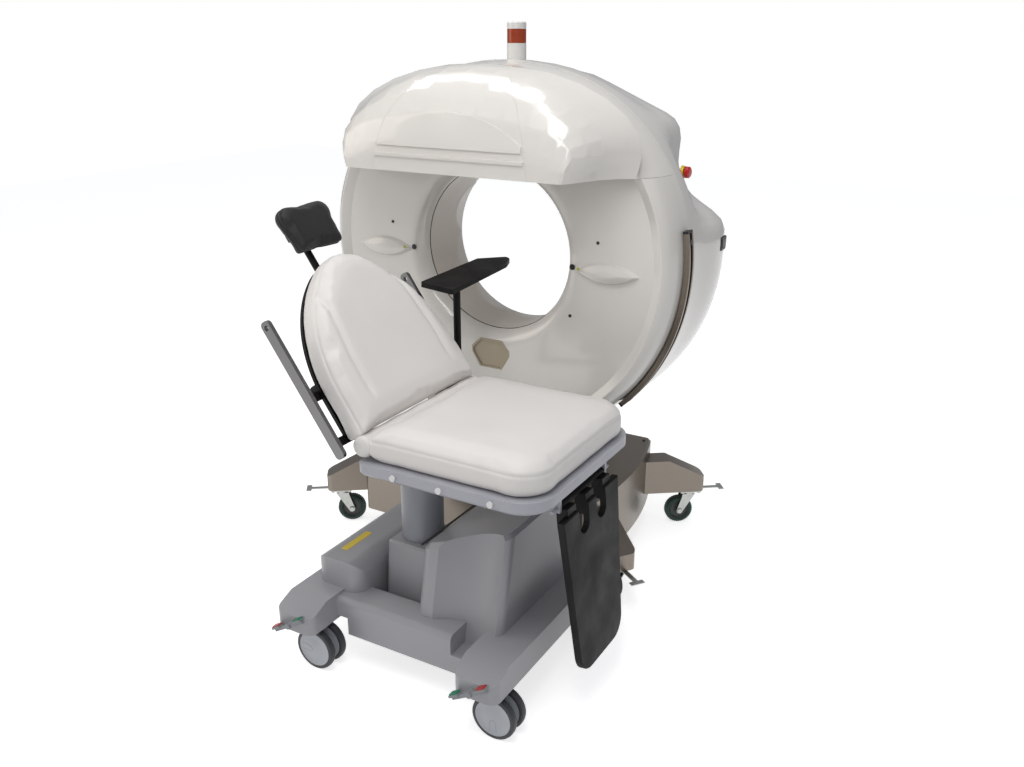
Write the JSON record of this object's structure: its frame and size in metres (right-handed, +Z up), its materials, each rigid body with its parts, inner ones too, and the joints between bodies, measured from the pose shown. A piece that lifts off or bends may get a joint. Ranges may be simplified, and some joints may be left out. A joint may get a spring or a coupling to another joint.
{
  "type": "ct scanner",
  "caption": "Ring-shaped CT gantry on a wheeled steel base with a powered patient chair that rolls up to its bore",
  "frame": {"origin": "isocentre: the middle of the bore on its axis, in the scan plane", "axes": "+Y along the bore's axis from the patient chair to the gantry's rear, +Z up, +X to the right seen from the chair's side"},
  "size_m": [1.3706, 1.5264, 1.7183],
  "materials": {
    "cover_white": "gloss",
    "liner_white": "satin",
    "dock_beige": "satin",
    "rail_bronze": "satin",
    "black_plastic": "matte",
    "screw_grey": "satin",
    "base_steel": "brushed",
    "frame_iron": "painted",
    "rotor_alloy": "machined",
    "tube_grey": "satin",
    "detector_black": "satin",
    "light_grey": "satin",
    "lamp_orange": "gloss",
    "stop_yellow": "satin",
    "stop_red": "satin",
    "zinc": "satin",
    "green_tyre": "matte",
    "chair_grey": "satin",
    "column_steel": "satin",
    "lever_green": "satin",
    "cap_white": "satin",
    "vinyl_white": "satin",
    "back_black": "satin",
    "rail_steel": "satin",
    "pad_black": "matte",
    "board_black": "matte",
    "castor_grey": "satin",
    "castor_tyre": "matte",
    "pedal_steel": "satin"
  },
  "bodies": {
    "gantry": {"base_housing": "base_steel", "base_socket": "black_plastic", "ring_frame": "frame_iron", "ring_front_cover": "cover_white", "ring_rear_cover": "cover_white", "hood_centre": "cover_white", "hood_sides": "cover_white", "bore_liner": "liner_white", "docking_plate": "dock_beige", "curved_rails": "rail_bronze", "rail_end_caps": "black_plastic", "cover_screws": "screw_grey", "estop_base": "stop_yellow", "stack_light_housing": "light_grey", "stack_light_lens": "lamp_orange", "sensor_windows": "black_plastic", "outriggers": "base_steel", "caster_plates": "zinc"},
    "rotor": {"rotor_ring": "rotor_alloy", "xray_tube": "tube_grey", "detector_arc": "detector_black"},
    "stop_button": {"estop_button": "stop_red"},
    "chair_base": {"chair_base_left": "chair_grey", "chair_base_right": "chair_grey", "column_cover": "chair_grey"},
    "seat": {"column_tube": "column_steel", "seat_tray": "chair_grey", "tray_bolt_caps": "cap_white", "seat_cushion": "vinyl_white", "arm_board": "board_black", "arm_board_post": "back_black"},
    "back": {"back_frame": "back_black", "back_cushion": "vinyl_white", "back_side_rails": "rail_steel"},
    "head_post": {"headrest_post": "back_black"},
    "head_pad": {"headrest_pad": "pad_black"},
    "leg_rest": {"leg_board": "board_black"},
    "column_lock": {"column_lever": "lever_green"},
    "brake_left": {"chair_pedal_left": "pedal_steel"},
    "brake_right": {"chair_pedal_right": "pedal_steel"},
    "swivel_front_right": {"gantry_fork_front_right": "zinc"},
    "wheel_front_right": {"gantry_wheel_front_right": "green_tyre"},
    "lock_front_right": {"lock_pedal_front_right": "zinc"},
    "swivel_rear_right": {"gantry_fork_rear_right": "zinc"},
    "wheel_rear_right": {"gantry_wheel_rear_right": "green_tyre"},
    "lock_rear_right": {"lock_pedal_rear_right": "zinc"},
    "swivel_rear_left": {"gantry_fork_rear_left": "zinc"},
    "wheel_rear_left": {"gantry_wheel_rear_left": "green_tyre"},
    "lock_rear_left": {"lock_pedal_rear_left": "zinc"},
    "swivel_front_left": {"gantry_fork_front_left": "zinc"},
    "wheel_front_left": {"gantry_wheel_front_left": "green_tyre"},
    "lock_front_left": {"lock_pedal_front_left": "zinc"},
    "castor_front_left": {"chair_fork_front_left": "castor_grey"},
    "twin_front_left": {"chair_wheels_front_left": "castor_tyre"},
    "castor_front_right": {"chair_fork_front_right": "castor_grey"},
    "twin_front_right": {"chair_wheels_front_right": "castor_tyre"},
    "castor_rear_left": {"chair_fork_rear_left": "castor_grey"},
    "twin_rear_left": {"chair_wheels_rear_left": "castor_tyre"},
    "castor_rear_right": {"chair_fork_rear_right": "castor_grey"},
    "twin_rear_right": {"chair_wheels_rear_right": "castor_tyre"}
  },
  "joints": [
    {"name": "rotor_spin", "type": "hinge", "parent": "gantry", "child": "rotor", "pos_m": [0, 0, 0], "axis": [0, 1, 0], "continuous": true},
    {"name": "stop_press", "type": "slide", "parent": "gantry", "child": "stop_button", "axis": [-1, 0, 0], "range_m": [0, 0.004], "stiffness_N_per_m": 600},
    {"name": "swivel_front_right_turn", "type": "hinge", "parent": "gantry", "child": "swivel_front_right", "pos_m": [0.548, -0.312, -0.98], "axis": [0, 0, 1], "continuous": true},
    {"name": "wheel_front_right_roll", "type": "hinge", "parent": "swivel_front_right", "child": "wheel_front_right", "pos_m": [0.52049, -0.29202, -0.98], "axis": [0.5878, 0.809, 0], "continuous": true},
    {"name": "lock_front_right_press", "type": "hinge", "parent": "gantry", "child": "lock_front_right", "pos_m": [0.5802, -0.33539, -0.9003], "axis": [0.5878, 0.809, 0], "range_deg": [0, 20]},
    {"name": "swivel_rear_right_turn", "type": "hinge", "parent": "gantry", "child": "swivel_rear_right", "pos_m": [0.548, 0.312, -0.98], "axis": [0, 0, 1], "continuous": true},
    {"name": "wheel_rear_right_roll", "type": "hinge", "parent": "swivel_rear_right", "child": "wheel_rear_right", "pos_m": [0.52049, 0.29202, -0.98], "axis": [-0.5878, 0.809, 0], "continuous": true},
    {"name": "lock_rear_right_press", "type": "hinge", "parent": "gantry", "child": "lock_rear_right", "pos_m": [0.5802, 0.33539, -0.9003], "axis": [-0.5878, 0.809, 0], "range_deg": [0, 20]},
    {"name": "swivel_rear_left_turn", "type": "hinge", "parent": "gantry", "child": "swivel_rear_left", "pos_m": [-0.548, 0.312, -0.98], "axis": [0, 0, 1], "continuous": true},
    {"name": "wheel_rear_left_roll", "type": "hinge", "parent": "swivel_rear_left", "child": "wheel_rear_left", "pos_m": [-0.52049, 0.29202, -0.98], "axis": [-0.5878, -0.809, 0], "continuous": true},
    {"name": "lock_rear_left_press", "type": "hinge", "parent": "gantry", "child": "lock_rear_left", "pos_m": [-0.5802, 0.33539, -0.9003], "axis": [-0.5878, -0.809, 0], "range_deg": [0, 20]},
    {"name": "swivel_front_left_turn", "type": "hinge", "parent": "gantry", "child": "swivel_front_left", "pos_m": [-0.548, -0.312, -0.98], "axis": [0, 0, 1], "continuous": true},
    {"name": "wheel_front_left_roll", "type": "hinge", "parent": "swivel_front_left", "child": "wheel_front_left", "pos_m": [-0.52049, -0.29202, -0.98], "axis": [0.5878, -0.809, 0], "continuous": true},
    {"name": "lock_front_left_press", "type": "hinge", "parent": "gantry", "child": "lock_front_left", "pos_m": [-0.5802, -0.33539, -0.9003], "axis": [0.5878, -0.809, 0], "range_deg": [0, 20]},
    {"name": "chair_roll", "type": "slide", "parent": "gantry", "child": "chair_base", "axis": [0, 1, 0], "range_m": [-0.6, 0]},
    {"name": "chair_lift", "type": "slide", "parent": "chair_base", "child": "seat", "axis": [0, 0, 1], "range_m": [-0.08, 0.12]},
    {"name": "back_recline", "type": "hinge", "parent": "seat", "child": "back", "pos_m": [0.118, -0.76, -0.362], "axis": [0, -1, 0], "range_deg": [0, 55]},
    {"name": "headrest_slide", "type": "slide", "parent": "back", "child": "head_post", "axis": [-0.5736, 0, 0.8192], "range_m": [0, 0.08]},
    {"name": "headrest_tilt", "type": "hinge", "parent": "head_post", "child": "head_pad", "pos_m": [-0.25556, -0.76, 0.13087], "axis": [0, 1, 0], "range_deg": [-15, 15]},
    {"name": "leg_board_swing", "type": "hinge", "parent": "seat", "child": "leg_rest", "pos_m": [0.628, -0.76, -0.426], "axis": [0, -1, 0], "range_deg": [-6, 84]},
    {"name": "column_lock_turn", "type": "hinge", "parent": "seat", "child": "column_lock", "pos_m": [0.224, -0.8653, -0.406], "axis": [0, 1, 0], "range_deg": [-20, 20]},
    {"name": "brake_left_rock", "type": "hinge", "parent": "chair_base", "child": "brake_left", "pos_m": [-0.075, -1.0953, -0.866], "axis": [0, 1, 0], "range_deg": [0, 60]},
    {"name": "brake_right_rock", "type": "hinge", "parent": "chair_base", "child": "brake_right", "pos_m": [0.509, -1.0953, -0.866], "axis": [0, 1, 0], "range_deg": [0, 60]},
    {"name": "castor_front_left_turn", "type": "hinge", "parent": "chair_base", "child": "castor_front_left", "pos_m": [-0.075, -1.02, -0.9675], "axis": [0, 0, 1], "continuous": true},
    {"name": "twin_front_left_roll", "type": "hinge", "parent": "castor_front_left", "child": "twin_front_left", "pos_m": [-0.045, -1.02, -0.9675], "axis": [0, 1, 0], "continuous": true},
    {"name": "castor_front_right_turn", "type": "hinge", "parent": "chair_base", "child": "castor_front_right", "pos_m": [0.509, -1.02, -0.9675], "axis": [0, 0, 1], "continuous": true},
    {"name": "twin_front_right_roll", "type": "hinge", "parent": "castor_front_right", "child": "twin_front_right", "pos_m": [0.539, -1.02, -0.9675], "axis": [0, 1, 0], "continuous": true},
    {"name": "castor_rear_left_turn", "type": "hinge", "parent": "chair_base", "child": "castor_rear_left", "pos_m": [-0.075, -0.5, -0.9675], "axis": [0, 0, 1], "continuous": true},
    {"name": "twin_rear_left_roll", "type": "hinge", "parent": "castor_rear_left", "child": "twin_rear_left", "pos_m": [-0.045, -0.5, -0.9675], "axis": [0, 1, 0], "continuous": true},
    {"name": "castor_rear_right_turn", "type": "hinge", "parent": "chair_base", "child": "castor_rear_right", "pos_m": [0.509, -0.5, -0.9675], "axis": [0, 0, 1], "continuous": true},
    {"name": "twin_rear_right_roll", "type": "hinge", "parent": "castor_rear_right", "child": "twin_rear_right", "pos_m": [0.539, -0.5, -0.9675], "axis": [0, 1, 0], "continuous": true}
  ],
  "couplings": [
    {"joint": "brake_right_rock", "follows": "brake_left_rock", "ratio": 1}
  ]
}
